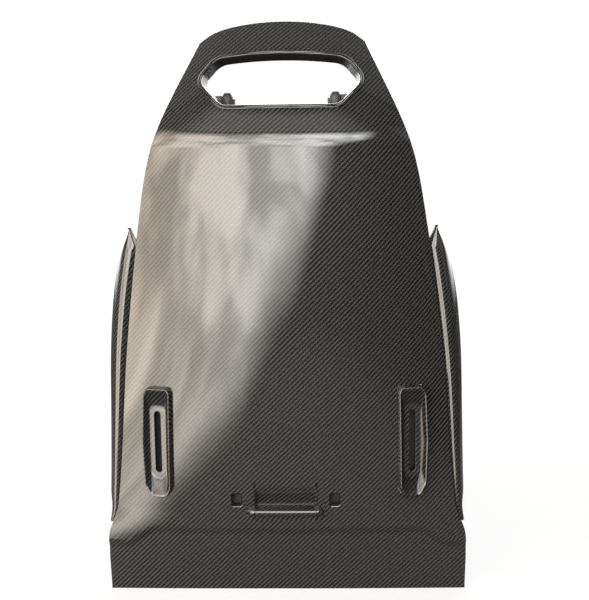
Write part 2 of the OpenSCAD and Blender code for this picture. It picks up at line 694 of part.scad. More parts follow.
module low_right_tower() { tower(1, tower_low_z); }
module high_left_tower() { tower(-1, tower_high_z); }
module high_right_tower() { tower(1, tower_high_z); }

// Spring clip: a bent strip with a barbed nose that stands out of the tower
module spring_clip(side, z) {
    t = clip_t;
    h = clip_half;
    b = clip_barb;
    y0 = tower_y(z) - clip_seat;
    color(zinc) placed() mirrored(side) translate([tower_x - clip_w / 2, y0, z]) rotate([90, 0, 90])
        linear_extrude(height = clip_w) polygon([
            [0, -h], [14, -h], [21, -b], [31, -1], [32, 0], [31, 1], [21, b], [14, h], [0, h],
            [0, h - t], [14, h - t], [21, b - 1.5 * t], [30, 0.6], [30, -0.6], [21, 1.5 * t - b],
            [14, t - h], [t, t - h], [t, h / 2], [0, h / 2]]);
}
module low_left_clip() { spring_clip(-1, tower_low_z); }
module low_right_clip() { spring_clip(1, tower_low_z); }
module high_left_clip() { spring_clip(-1, tower_high_z); }
module high_right_clip() { spring_clip(1, tower_high_z); }

// ---- Hooks that drop over the seat frame's lower cross tube ----
hook_base = 9;
hook_t = 6;
hook_l = 40;
module frame_hook(side) {
    y0 = rear_y(hook_x, hook_z);
    y1 = y0 + hook_base;
    color(black_plastic) placed() mirrored(side) {
        seated_block(hook_x - hook_w / 2, hook_x + hook_w / 2, hook_z - hook_l / 2, hook_z + hook_l / 2, y1);
        translate([hook_x - hook_w / 2, y1 - 1, hook_z + hook_l / 2 - hook_t])
            cube([hook_w, hook_reach, hook_t]);
        translate([hook_x - hook_w / 2, y1 + hook_reach - hook_t, hook_z - hook_l / 5])
            cube([hook_w, hook_t - 1, 0.7 * hook_l - 1]);
    }
}
module left_frame_hook() { frame_hook(-1); }
module right_frame_hook() { frame_hook(1); }

// ---- Foam strips that keep the shell from rattling on the frame ----
module foam_strip(side) {
    y1 = inner_y(foam_x, foam_z) + foam_t;
    color(foam) placed() mirrored(side)
        seated_block(foam_x - foam_w / 2, foam_x + foam_w / 2, foam_z - foam_len / 2, foam_z + foam_len / 2,
            y1, 3, 8);
}
module left_foam_strip() { foam_strip(-1); }
module right_foam_strip() { foam_strip(1); }

back_shell();
left_wing();
right_wing();
head_rim();
left_slot_bezel();
right_slot_bezel();
left_slot_liner();
right_slot_liner();
centre_pull();
left_clip_box();
right_clip_box();
left_guide_foot();
right_guide_foot();
left_upright_guide();
right_upright_guide();
guide_screws();
lower_inserts();
upper_inserts();
low_left_tower();
low_right_tower();
high_left_tower();
high_right_tower();
low_left_clip();
low_right_clip();
high_left_clip();
high_right_clip();
left_frame_hook();
right_frame_hook();
left_foam_strip();
right_foam_strip();
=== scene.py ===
"""Rear shell of a bucket racing seat: smooth laminate pieces with a coated twill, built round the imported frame."""
import math

import bmesh
import bpy
import numpy as np
from mathutils import Matrix, Vector


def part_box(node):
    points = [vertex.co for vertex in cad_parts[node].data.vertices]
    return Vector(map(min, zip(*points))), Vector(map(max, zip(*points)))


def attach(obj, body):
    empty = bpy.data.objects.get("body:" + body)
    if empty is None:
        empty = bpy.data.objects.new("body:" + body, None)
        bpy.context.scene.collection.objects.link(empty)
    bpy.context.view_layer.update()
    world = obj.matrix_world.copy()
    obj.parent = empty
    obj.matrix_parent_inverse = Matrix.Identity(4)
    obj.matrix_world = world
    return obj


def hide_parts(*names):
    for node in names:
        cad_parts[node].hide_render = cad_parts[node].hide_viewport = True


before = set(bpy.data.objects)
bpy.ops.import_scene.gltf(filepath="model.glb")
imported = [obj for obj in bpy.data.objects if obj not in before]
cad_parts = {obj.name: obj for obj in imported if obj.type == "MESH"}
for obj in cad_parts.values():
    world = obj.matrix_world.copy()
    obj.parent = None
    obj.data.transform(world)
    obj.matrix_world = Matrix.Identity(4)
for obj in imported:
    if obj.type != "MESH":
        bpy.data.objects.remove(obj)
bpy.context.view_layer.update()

MM = 0.001

# ---- Driving dimensions, in millimetres, as the CAD model has them ----
SHELL_LOW, SHELL_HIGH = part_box("back_shell")
Y_SHIFT = SHELL_LOW.y / MM
SHELL_H = round(SHELL_HIGH.z / MM, 3)
SKIRT_W, WAIST_W, BACK_W = 556, 522, 480
SHOULDER_W, NECK_W, HEAD_W = 418, 378, 256
WAIST_Z, BACK_Z = 142, 390
SHOULDER_DROP, NECK_DROP, CORNER_DROP = 270, 185, 33
SKIN_T = 2.5
LOWER_SWEEP, SWEEP_POWER, FLAT_Z = 48, 1.6, 640
HEAD_LEN, HEAD_LEAN, LEAN_POWER = 190, 165, 1.55
SKIRT_CROWN, BACK_CROWN, HEAD_CROWN, CROWN_POWER, CROWN_REACH = 3, 48, 28, 2.4, 1.4
CREASE_Z, CREASE_STEP, CREASE_DROP, CREASE_RUN = 101, 7, 24, 15
ARCH_DROP, FLARE_Z = 19, 92
NECK_Z = SHELL_H - HEAD_LEN
WING_Z0, WING_Z1, WING_OUT, WING_WRAP = 113, 570, 36, 74
WING_LAP, WING_FOOT, NOTCH_LEN, NOTCH_W, WING_START = 14, 5, 30, 15, -22
OPEN_W, OPEN_LOW_W, OPEN_TOP_W, OPEN_DROP = 248, 172, 196, 133
OPEN_SIDE_H, OPEN_CORNER_H, OPEN_H = 38, 68, 79
RIM_DEPTH, RIM_T, BEAD_W, BEAD_H = 35, 2.2, 5, 2.4
RIM_DRAFT_X, RIM_DRAFT_Z = 5, 8
SLOT_X, SLOT_Z, SLOT_LEN, SLOT_W = 193, 245, 96, 10
BEZEL_LEN, BEZEL_W, BEZEL_RISE, BEZEL_SKIRT = 172, 48, 11, 7
FLOOR_W, FLOOR_SINK, BEZEL_T = 24, 2, 2.4
PULL_Z, PULL_W, SCOOP_H, SCOOP_W, SCOOP_DEPTH = 135, 120, 40, 92, 13
ROLL_RISE, PULL_MARGIN = 9, 7
WINDOW_X, WINDOW_W, WINDOW_H, WINDOW_Z = 75, 14, 20, 154
BOND_GAP, BOND_BED = 0.2, 0.7
FOAM_X, FOAM_Z, FOAM_W, FOAM_LEN, FOAM_T = 172, 470, 22, 150, 12
OPEN_Z = SHELL_H - OPEN_DROP
PULL_LOW = PULL_Z - 2 * PULL_MARGIN
PULL_HIGH = PULL_Z + SCOOP_H + PULL_MARGIN

# ---- The shell's rear face: y for a given x and z ----
WIDTHS = np.array([
    [0, SKIRT_W / 2], [FLARE_Z, SKIRT_W / 2 - 1], [WAIST_Z, WAIST_W / 2], [BACK_Z, BACK_W / 2],
    [SHELL_H - SHOULDER_DROP, SHOULDER_W / 2], [SHELL_H - NECK_DROP, NECK_W / 2],
    [SHELL_H - CORNER_DROP, HEAD_W / 2], [SHELL_H, HEAD_W / 2 - 8]])
CROWNS = np.array([
    [0, SKIRT_CROWN], [CREASE_Z, SKIRT_CROWN + 9], [BACK_Z, BACK_CROWN],
    [NECK_Z, BACK_CROWN - 3], [SHELL_H, HEAD_CROWN]])
WING_SPAN = WING_Z1 - WING_Z0
WING_OUTS = np.array([
    [WING_Z0, WING_FOOT], [WING_Z0 + 0.11 * WING_SPAN, WING_OUT * 0.52], [WING_Z0 + 0.43 * WING_SPAN, WING_OUT * 0.84],
    [WING_Z0 + 0.74 * WING_SPAN, WING_OUT], [WING_Z0 + 0.91 * WING_SPAN, WING_OUT * 0.8], [WING_Z1, NOTCH_W + 1]])
WING_WRAPS = np.array([
    [WING_Z0, 8], [WING_Z0 + 0.2 * WING_SPAN, WING_WRAP * 0.78], [WING_Z0 + 0.5 * WING_SPAN, WING_WRAP],
    [WING_Z0 + 0.8 * WING_SPAN, WING_WRAP * 0.86], [WING_Z1, 12]])


def smooth(a):
    c = np.clip(a, 0, 1)
    return c * c * (3 - 2 * c)


def curve(stations, z):
    """Smooth curve through rows of [position, value]."""
    z = np.asarray(z, float)
    n = len(stations)
    pos, val = stations[:, 0], stations[:, 1]
    k = np.clip(np.searchsorted(pos, z, side="right") - 1, 0, n - 2)
    ahead = np.minimum(np.arange(n) + 1, n - 1)
    behind = np.maximum(np.arange(n) - 1, 0)
    slope = (val[ahead] - val[behind]) / (pos[ahead] - pos[behind])
    h = pos[k + 1] - pos[k]
    t = (z - pos[k]) / h
    return (val[k] * (1 + 2 * t) * (1 - t) ** 2 + h * slope[k] * t * (1 - t) ** 2
            + val[k + 1] * t * t * (3 - 2 * t) - h * slope[k + 1] * t * t * (1 - t))


def half_w(z):
    return curve(WIDTHS, z)


def centre_y(z):
    low = LOWER_SWEEP * np.maximum(0, (FLAT_Z - z) / FLAT_Z) ** SWEEP_POWER
    return low + HEAD_LEAN * np.maximum(0, (z - NECK_Z) / (SHELL_H - NECK_Z)) ** LEAN_POWER


def rear_y(x, z):
    crease = CREASE_Z - CREASE_DROP * smooth((np.abs(x) - 205) / 45)
    step = CREASE_STEP * smooth((crease - z) / CREASE_RUN + 0.5)
    return centre_y(z) + step + curve(CROWNS, z) * np.minimum(CROWN_REACH, np.abs(x) / half_w(z)) ** CROWN_POWER


def dy_dx(x, z):
    return (rear_y(x + 1, z) - rear_y(x - 1, z)) / 2


def dy_dz(x, z):
    return (rear_y(x, z + 1) - rear_y(x, z - 1)) / 2


def along_y(x, z, d):
    """Distance along Y that gives a normal distance d."""
    return d * np.sqrt(1 + dy_dx(x, z) ** 2 + dy_dz(x, z) ** 2)


# ---- Drape coordinates: lengths along the cloth, so that the twill keeps its pitch on slopes ----
# The cloth is drawn out where it turns forward over the head
STRETCH_LOW, STRETCH_HIGH, STRETCH = 720, 800, 0.4
Z_STEPS = np.linspace(0, SHELL_H, 441)
FORWARD = np.diff(centre_y(Z_STEPS)) * np.interp(Z_STEPS[1:], [STRETCH_LOW, STRETCH_HIGH], [1.0, STRETCH])
V_STEPS = np.concatenate([[0], np.cumsum(np.hypot(np.diff(Z_STEPS), FORWARD))])


def drape(x, z):
    """Metres of cloth from the middle and from the bottom edge."""
    x = np.asarray(x, float)
    z = np.asarray(z, float)
    share = (np.arange(12) + 0.5) / 12
    slopes = dy_dx(x[..., None] * share, z[..., None] + 0 * share)
    return np.stack([x * np.sqrt(1 + slopes ** 2).mean(-1), np.interp(z, Z_STEPS, V_STEPS)], -1) * MM


# ---- Mesh helpers ----
def placed(points):
    """Shell millimetres to frame metres."""
    p = np.array(points, float).reshape(-1, 3)
    return (p + [0, Y_SHIFT, 0]) * MM


def new_object(name, verts, faces, uvs=None, smooth_angle=35):
    me = bpy.data.meshes.new(name)
    me.from_pydata([tuple(v) for v in verts], [], [tuple(f) for f in faces])
    me.validate()
    if uvs is not None:
        layer = me.uv_layers.new(name="drape")
        index = np.zeros(len(me.loops), int)
        me.loops.foreach_get("vertex_index", index)
        layer.data.foreach_set("uv", np.asarray(uvs, float)[index].ravel())
    o = bpy.data.objects.new(name, me)
    bpy.context.scene.collection.objects.link(o)
    if smooth_angle:
        me.shade_smooth()
        me.set_sharp_from_angle(angle=math.radians(smooth_angle))
    return o


def strip_faces(rows, cols, start=0, closed=False, flip=False):
    """Quads between rows of points; closed joins the last column to the first."""
    faces = []
    for j in range(rows - 1):
        for i in range(cols if closed else cols - 1):
            a = start + j * cols + i
            b = start + j * cols + (i + 1) % cols
            quad = (a, b, b + cols, a + cols)
            faces.append(quad[::-1] if flip else quad)
    return faces


def closing_faces(rows, cols):
    """Quads from the last row of points back to the first, round a closed section."""
    last = (rows - 1) * cols
    return [(last + i, last + (i + 1) % cols, (i + 1) % cols, i) for i in range(cols)]


def skin_object(name, outer, inner, uvs):
    """Closed skin between two grids [rows, cols, 3]."""
    rows, cols = outer.shape[:2]
    n = rows * cols
    verts = np.concatenate([outer.reshape(-1, 3), inner.reshape(-1, 3)])
    faces = strip_faces(rows, cols) + strip_faces(rows, cols, n, flip=True)
    ring = ([i for i in range(cols)] + [j * cols + cols - 1 for j in range(1, rows)]
            + [(rows - 1) * cols + i for i in range(cols - 2, -1, -1)] + [j * cols for j in range(rows - 2, 0, -1)])
    for k, a in enumerate(ring):
        b = ring[(k + 1) % len(ring)]
        faces.append((b, a, n + a, n + b))
    uv = np.asarray(uvs, float).reshape(-1, 2)
    return new_object(name, placed(verts), faces, np.concatenate([uv, uv]))


def unit(v):
    return v / np.maximum(1e-9, np.linalg.norm(v, axis=-1, keepdims=True))


def rounded(points, radii, steps=8):
    """Convex outline with an arc of its own radius at each corner."""
    pts = np.array(points, float)
    out = []
    for i, p in enumerate(pts):
        a, b = unit(pts[i - 1] - p), unit(pts[(i + 1) % len(pts)] - p)
        half = math.acos(float(np.clip(a @ b, -1, 1))) / 2
        c = p + unit(a + b) * radii[i] / math.sin(half)
        s = p + a * radii[i] / math.tan(half) - c
        e = p + b * radii[i] / math.tan(half) - c
        turn = math.atan2(s[0] * e[1] - s[1] * e[0], s @ e)
        for k in range(steps + 1):
            w = turn * k / steps
            out.append(c + [s[0] * math.cos(w) - s[1] * math.sin(w), s[0] * math.sin(w) + s[1] * math.cos(w)])
    return np.array(out)


def rect(w, h, r, x=0, z=0):
    return rounded([[x - w / 2, z - h / 2], [x + w / 2, z - h / 2], [x + w / 2, z + h / 2], [x - w / 2, z + h / 2]],
                   [r] * 4)


def resampled(outline, count):
    """Closed outline with even spacing, starting at its top middle."""
    mid = (outline[:, 0].min() + outline[:, 0].max()) / 2
    ring = np.concatenate([outline, outline[:1]])
    length = np.concatenate([[0], np.cumsum(np.linalg.norm(np.diff(ring, axis=0), axis=1))])
    fine = np.linspace(0, length[-1], 4001)
    xs, zs = np.interp(fine, length, ring[:, 0]), np.interp(fine, length, ring[:, 1])
    below_top = zs.max() - zs > 0.2 * (zs.max() - zs.min())
    top = np.argmin(np.abs(xs - mid) + 1000 * below_top)
    t = (fine[top] + np.arange(count) / count * length[-1]) % length[-1]
    return np.stack([np.interp(t, length, ring[:, 0]), np.interp(t, length, ring[:, 1])], -1)


def outward(outline):
    """Outward unit normals of a closed anticlockwise outline."""
    t = unit(np.roll(outline, -1, 0) - np.roll(outline, 1, 0))
    return np.stack([t[:, 1], -t[:, 0]], -1)


def boolean_cut(target, cutters):
    for c in cutters:
        m = target.modifiers.new("cut", "BOOLEAN")
        m.operation = "DIFFERENCE"
        m.solver = "MANIFOLD"
        m.object = c
    apply_modifiers(target)
    for c in cutters:
        bpy.data.objects.remove(c)


def apply_modifiers(o):
    dg = bpy.context.evaluated_depsgraph_get()
    dg.update()
    me = bpy.data.meshes.new_from_object(o.evaluated_get(dg))
    o.modifiers.clear()
    old = o.data
    o.data = me
    bpy.data.meshes.remove(old)


def subdivided(o):
    m = o.modifiers.new("smooth", "SUBSURF")
    m.levels = m.render_levels = 1
    m.uv_smooth = "PRESERVE_BOUNDARIES"
    apply_modifiers(o)
    o.data.shade_smooth()


def prism(outline, y0, y1, matrix=None):
    """Cutter with the outline's section from y0 to y1."""
    n = len(outline)
    verts = np.array([[x, y, z] for y in (y0, y1) for x, z in outline])
    faces = [tuple(range(n))[::-1], tuple(range(n, 2 * n))]
    faces += [(i, (i + 1) % n, n + (i + 1) % n, n + i) for i in range(n)]
    if matrix is not None:
        verts = np.array([matrix @ Vector(v) for v in verts])
    return new_object("cutter", placed(verts), faces, smooth_angle=0)


# ---- Node material helper ----
class Nodes:
    def __init__(self, name):
        self.mat = bpy.data.materials.new(name)
        self.mat.use_nodes = True
        self.tree = self.mat.node_tree
        self.shader = self.tree.nodes["Principled BSDF"]

    def new(self, kind, **props):
        n = self.tree.nodes.new(kind)
        for k, v in props.items():
            setattr(n, k, v)
        return n

    def put(self, socket, value):
        if isinstance(value, bpy.types.NodeSocket):
            self.tree.links.new(value, socket)
        else:
            socket.default_value = value

    def math(self, op, a, b=None, c=None):
        n = self.new("ShaderNodeMath", operation=op)
        for socket, value in zip(n.inputs, (a, b, c)):
            if value is not None:
                self.put(socket, value)
        return n.outputs[0]

    def mix(self, factor, a, b):
        n = self.new("ShaderNodeMix", data_type="RGBA")
        self.put(n.inputs[0], factor)
        self.put(n.inputs[6], a)
        self.put(n.inputs[7], b)
        return n.outputs[2]

    def noise(self, vector, scale, detail=2.0, rough=0.5):
        n = self.new("ShaderNodeTexNoise")
        self.put(n.inputs["Vector"], vector)
        n.inputs["Scale"].default_value = scale
        n.inputs["Detail"].default_value = detail
        n.inputs["Roughness"].default_value = rough
        return n.outputs["Fac"]

    def object_xyz(self):
        return self.new("ShaderNodeTexCoord").outputs["Object"]

    def scaled(self, vector, xyz):
        n = self.new("ShaderNodeVectorMath", operation="MULTIPLY")
        self.put(n.inputs[0], vector)
        n.inputs[1].default_value = xyz
        return n.outputs[0]

    def bump(self, height, distance, strength):
        n = self.new("ShaderNodeBump")
        n.inputs["Strength"].default_value = strength
        n.inputs["Distance"].default_value = distance
        self.put(n.inputs["Height"], height)
        return n.outputs[0]


TOW = 1.88 * MM
TOW_WANDER = 2.2 * MM


def either(m, pick, a, b):
    """a where pick is 1, b where it is 0."""
    return m.math("ADD", m.math("MULTIPLY", pick, a), m.math("MULTIPLY", m.math("SUBTRACT", 1.0, pick), b))


def tow_section(m, place):
    """Height of a tow's rounded section, for a place from 0 to 1 across it."""
    off_middle = m.math("ABSOLUTE", m.math("MULTIPLY_ADD", place, 2.0, -1.0))
    return m.math("SUBTRACT", 1.0, m.math("POWER", off_middle, 2.6))


def twill(name, turn=0.0, gain=1.0, coat=0.85):
    """2/2 twill on the drape coordinates: turn is in degrees, gain scales its tones, coat is the clear coat."""
    m = Nodes(name)
    uv = m.new("ShaderNodeUVMap", uv_map="drape").outputs[0]
    rot = m.new("ShaderNodeVectorRotate", rotation_type="Z_AXIS")
    m.put(rot.inputs["Vector"], uv)
    rot.inputs["Angle"].default_value = math.radians(turn)
    xyz = m.new("ShaderNodeSeparateXYZ")
    wander = m.new("ShaderNodeTexNoise", noise_dimensions="3D")
    m.put(wander.inputs["Vector"], rot.outputs[0])
    wander.inputs["Scale"].default_value = 9
    wander.inputs["Detail"].default_value = 1
    shift = m.new("ShaderNodeVectorMath", operation="MULTIPLY_ADD")
    m.put(shift.inputs[0], wander.outputs["Color"])
    shift.inputs[1].default_value = (TOW_WANDER, TOW_WANDER, 0)
    m.put(shift.inputs[2], rot.outputs[0])
    m.put(xyz.inputs[0], shift.outputs[0])
    u = m.math("DIVIDE", xyz.outputs[0], TOW)
    v = m.math("DIVIDE", xyz.outputs[1], TOW)
    iu, iv = m.math("FLOOR", u), m.math("FLOOR", v)
    fu, fv = m.math("SUBTRACT", u, iu), m.math("SUBTRACT", v, iv)
    k = m.math("FLOORED_MODULO", m.math("SUBTRACT", iu, iv), 4.0)
    warp = m.math("LESS_THAN", k, 1.5)
    # Rounded section of a tow, and its rise and fall along a float of two tows
    along_warp = m.math("MULTIPLY", m.math("ADD", m.math("SUBTRACT", 1.0, k), fv), 0.5)
    along_weft = m.math("MULTIPLY", m.math("ADD", m.math("SUBTRACT", k, 2.0), fu), 0.5)
    across = either(m, warp, tow_section(m, fu), tow_section(m, fv))
    along = either(m, warp, along_warp, along_weft)
    crown = m.math("SINE", m.math("MULTIPLY", along, math.pi))
    height = m.math("MULTIPLY", across, m.math("MULTIPLY_ADD", crown, 0.6, 0.4))
    # Fine filaments along each tow
    streak_warp = m.noise(m.scaled(shift.outputs[0], (5200, 380, 1)), 1.0, 1.0)
    streak_weft = m.noise(m.scaled(shift.outputs[0], (380, 5200, 1)), 1.0, 1.0)
    streak = either(m, warp, streak_warp, streak_weft)
    cell = m.new("ShaderNodeCombineXYZ")
    m.put(cell.inputs[0], iu)
    m.put(cell.inputs[1], iv)
    m.put(cell.inputs[2], warp)
    tint = m.new("ShaderNodeTexWhiteNoise", noise_dimensions="3D")
    m.put(tint.inputs["Vector"], cell.outputs[0])
    # Painted sheen: tows that run across are painted light, as if catching the light; tows that run up are painted
    # dark
    # Painted highlight and shade on each tow: lighter on its crown, darker towards its edges and ends; the filaments
    # and per-tow tone are real
    shade = m.math("MULTIPLY_ADD", crown, 0.45, 0.55)
    shade = m.math("MULTIPLY", shade, m.math("MULTIPLY_ADD", streak, 0.7, 0.65))
    shade = m.math("MULTIPLY", shade, m.math("MULTIPLY_ADD", tint.outputs[0], 0.2, 0.9))
    shade = m.math("MULTIPLY", shade, m.math("MULTIPLY_ADD", across, 0.5, 0.5))
    # gap is the dark that the painted shade falls to; level and upright are the painted lit and unlit tows
    gap, upright, level, resin = (
        (r * gain, g * gain, b * gain, 1) for r, g, b in (
            (0.004, 0.0041, 0.0044), (0.002, 0.002, 0.0021), (0.026, 0.0258, 0.0247), (0.012, 0.012, 0.011)))
    tone = m.mix(warp, m.mix(shade, gap, level), m.mix(shade, gap, upright))
    # Uneven resin: broad, faint patches
    patch = m.noise(m.object_xyz(), 6.0, 3.0)
    tone = m.mix(m.math("MULTIPLY", patch, 0.35), tone, m.mix(0.5, tone, resin))
    s = m.shader
    m.put(s.inputs["Base Color"], tone)
    m.put(s.inputs["Roughness"], m.math("MULTIPLY_ADD", streak, 0.18, 0.30))
    m.put(s.inputs["Normal"], m.bump(height, 0.22 * MM, 0.6))
    s.inputs["Specular IOR Level"].default_value = 0.02
    s.inputs["Coat Weight"].default_value = coat
    s.inputs["Coat Roughness"].default_value = 0.035
    s.inputs["Coat IOR"].default_value = 1.52
    # The coat is never quite flat: a fine ripple on a slow wave
    ripple = m.noise(m.object_xyz(), 38.0, 2.0, 0.4)
    wave = m.noise(m.scaled(m.object_xyz(), (1.3, 1, 0.6)), 9.0, 1.0, 0.4)
    ripple = m.math("MULTIPLY_ADD", wave, 5.0, ripple)
    m.put(s.inputs["Coat Normal"], m.bump(ripple, 0.12 * MM, 0.5))
    return m.mat


def moulded_plastic():
    """Fine-grained black nylon, a little paler along its sharp convex edges."""
    m = Nodes("black_nylon")
    xyz = m.object_xyz()
    grain = m.noise(xyz, 1500.0, 3.0, 0.6)
    broad = m.noise(xyz, 22.0, 3.0)
    edge = m.new("ShaderNodeNewGeometry").outputs["Pointiness"]
    pale_edge = m.math("MULTIPLY", m.math("GREATER_THAN", edge, 0.53), 0.5)
    base = m.mix(broad, (0.009, 0.009, 0.010, 1), (0.016, 0.016, 0.017, 1))
    m.put(m.shader.inputs["Base Color"], m.mix(pale_edge, base, (0.035, 0.035, 0.036, 1)))
    m.put(m.shader.inputs["Roughness"], m.math("MULTIPLY_ADD", grain, 0.25, 0.36))
    m.shader.inputs["Specular IOR Level"].default_value = 0.2
    m.put(m.shader.inputs["Normal"], m.bump(grain, 0.06 * MM, 0.5))
    return m.mat


def zinc():
    """Bright zinc plate with faint brushing and dull patches."""
    m = Nodes("zinc_plate")
    xyz = m.object_xyz()
    brush = m.noise(m.scaled(xyz, (2600, 220, 220)), 1.0, 2.0)
    patch = m.noise(xyz, 140.0, 3.0)
    m.put(m.shader.inputs["Base Color"], m.mix(patch, (0.58, 0.60, 0.63, 1), (0.74, 0.74, 0.73, 1)))
    m.shader.inputs["Metallic"].default_value = 1.0
    m.put(m.shader.inputs["Roughness"], m.math("MULTIPLY_ADD", patch, 0.2, 0.22))
    m.put(m.shader.inputs["Normal"], m.bump(brush, 0.02 * MM, 0.5))
    return m.mat


def foam_skin():
    """Closed-cell foam: small pits and a dusty charcoal tone."""
    m = Nodes("closed_cell_foam")
    xyz = m.object_xyz()
    cells = m.new("ShaderNodeTexVoronoi")
    m.put(cells.inputs["Vector"], xyz)
    cells.inputs["Scale"].default_value = 900
    broad = m.noise(xyz, 60.0, 3.0)
    m.put(m.shader.inputs["Base Color"], m.mix(broad, (0.035, 0.035, 0.036, 1), (0.065, 0.064, 0.063, 1)))
    m.put(m.shader.inputs["Roughness"], m.math("MULTIPLY_ADD", broad, 0.1, 0.85))
    m.put(m.shader.inputs["Normal"], m.bump(cells.outputs["Distance"], 0.3 * MM, 0.8))
    return m.mat


CARBON = twill("coated_twill")
CARBON_RIM = twill("coated_twill_rim", turn=38)
# Half-toned twill for the head opening's inner wall: painted shade, with a thin coat
SHADED_CARBON_WALL = twill("uncoated_twill_wall_painted_shade", turn=38, gain=0.5, coat=0.1)
# Darker twill for the sides of the bezels' scoops: painted shade, with a thinner coat
SHADED_CARBON_SCOOP = twill("twill_scoop_painted_shade", gain=0.6, coat=0.4)
NYLON = moulded_plastic()
ZINC = zinc()
FOAM = foam_skin()


def finish_piece(o, material, slot, *nodes):
    """Gives a piece its material or its tuple of materials, and its place in the frame."""
    index = np.zeros(len(o.data.polygons), int)
    o.data.polygons.foreach_get("material_index", index)
    o.data.materials.clear()
    for m in material if isinstance(material, tuple) else (material,):
        o.data.materials.append(m)
    o.data.polygons.foreach_set("material_index", index)
    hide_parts(*nodes)
    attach(o, "root")
    return o


# ---- Back shell ----
def top_fall(u, v):
    """How far the top edge lies below its middle, u and v being shares of the half width and height."""
    lift = np.clip((v - 0.85) / 0.15, 0, 1) ** 1.5
    return (ARCH_DROP * u * u + (CORNER_DROP - ARCH_DROP) * np.abs(u) ** 10) * lift


def with_border(steps, near=(0.25, 0.8)):
    """Adds lines close to both ends, for the rounded edge."""
    first = [steps[0] + d for d in near]
    last = [steps[-1] - d for d in near[::-1]]
    return np.concatenate([steps[:1], first, steps[1:-1], last, steps[-1:]])


def round_border(outer, inner, normal, sides=(1, 1, 1, 1)):
    """Eases the borders of a skin's two faces towards each other; sides are bottom, top, first, last."""
    for depth, line in ((0.8, 0), (0.3, 1)):
        picks = [(slice(line, line + 1), slice(None)), (slice(-1 - line, (-line) or None), slice(None)),
                 (slice(None), slice(line, line + 1)), (slice(None), slice(-1 - line, (-line) or None))]
        moved = np.zeros(outer.shape[:2])
        for use, pick in zip(sides, picks):
            if use:
                moved[pick] = np.maximum(moved[pick], depth)
        outer += normal * moved[..., None]
        inner -= normal * moved[..., None]
    return outer, inner


def panel_grid():
    closing = math.pi / 2 * 0.72  # columns close up towards the side edges
    us = with_border(np.sin(np.linspace(-1, 1, 151) * closing) / math.sin(closing), (0.001, 0.0032))
    zs = np.concatenate([np.arange(0, 66, 5), np.arange(66, 116, 2.5), np.arange(116, SHELL_H - 40, 4.6),
                         np.linspace(SHELL_H - 39, SHELL_H, 14)])
    zs = with_border(zs) / SHELL_H
    u, v = np.meshgrid(us, zs)
    z = SHELL_H * v - top_fall(u, v)
    return u * half_w(z), z


def opening_outline():
    corners = [[-OPEN_LOW_W / 2, 0], [-OPEN_W / 2, OPEN_SIDE_H], [-OPEN_TOP_W / 2, OPEN_CORNER_H],
               [OPEN_TOP_W / 2, OPEN_CORNER_H], [OPEN_W / 2, OPEN_SIDE_H], [OPEN_LOW_W / 2, 0]]
    c = rounded(corners, [22, 16, 26, 26, 16, 22], 12)
    c = resampled(c[::-1], 240)
    t = np.clip((c[:, 1] - OPEN_SIDE_H) / (OPEN_CORNER_H - OPEN_SIDE_H), 0, 1)
    c[:, 1] += t * (OPEN_H - OPEN_CORNER_H) * (1 - (2 * c[:, 0] / OPEN_TOP_W) ** 2 * 0.6)
    return c


OPENING = opening_outline()


def bezel_outline(grow=0.0, count=None):
    """Edge of the right bezel in its own frame, wider at its lower end."""
    w, h = BEZEL_W / 2 + grow, BEZEL_LEN / 2 + grow
    c = rounded([[-w * 0.6, -h], [w * 0.45, -h], [w * 0.9, -h * 0.78], [w, 0], [w * 0.85, h * 0.88],
                 [w * 0.6, h], [-w * 0.85, h], [-w, h * 0.9], [-w * 0.94, 0], [-w * 0.9, -h * 0.85]],
                [10, 10, 14, 40, 8, 6, 6, 6, 40, 14], 6)
    return c if count is None else resampled(c, count)


def bezel_matrix(side):
    """Millimetre matrix of a bezel's own frame; the left one is mirrored."""
    turn = math.atan(float(dy_dx(SLOT_X, SLOT_Z)))
    pitch = math.atan(float(dy_dz(SLOT_X, SLOT_Z)))
    m = (Matrix.Translation((SLOT_X, float(rear_y(SLOT_X, SLOT_Z)), SLOT_Z))
         @ Matrix.Rotation(turn, 4, "Z") @ Matrix.Rotation(pitch, 4, "X"))
    return Matrix.Scale(-1, 4, (1, 0, 0)) @ m if side < 0 else m


def build_shell():
    x, z = panel_grid()
    y = rear_y(x, z)
    outer = np.stack([x, y, z], -1)
    inner = np.stack([x, y + along_y(x, z, SKIN_T), z], -1)
    outer, inner = round_border(outer, inner, unit(inner - outer))
    o = skin_object("shell_skin", outer, inner, drape(x, z))
    grown = OPENING + outward(OPENING) * (RIM_T / 2 + BOND_GAP)
    cutters = [prism(grown + [0, OPEN_Z], -20, 220), pull_prism()]
    for side in (-1, 1):
        cutters.append(prism(bezel_outline(BOND_GAP), -20, 25, bezel_matrix(side)))
        cutters.append(eased_cutter(rect(WINDOW_W, WINDOW_H, 2.5, side * WINDOW_X, WINDOW_Z)))
    for c in cutters:
        flip_if_inside_out(c)
    boolean_cut(o, cutters)
    analytic_normals(o)
    return finish_piece(o, CARBON, "laminate", "back_shell")


def pull_prism():
    return prism(rect(PULL_W, PULL_HIGH - PULL_LOW, 8, 0, (PULL_HIGH + PULL_LOW) / 2), -20, 80)


EASED = [(1.7, -6), (1.7, 0.0), (1.2, 0.18), (0.6, 0.55), (0.18, 1.05), (0.0, 1.7), (0.0, 12)]  # growth, depth


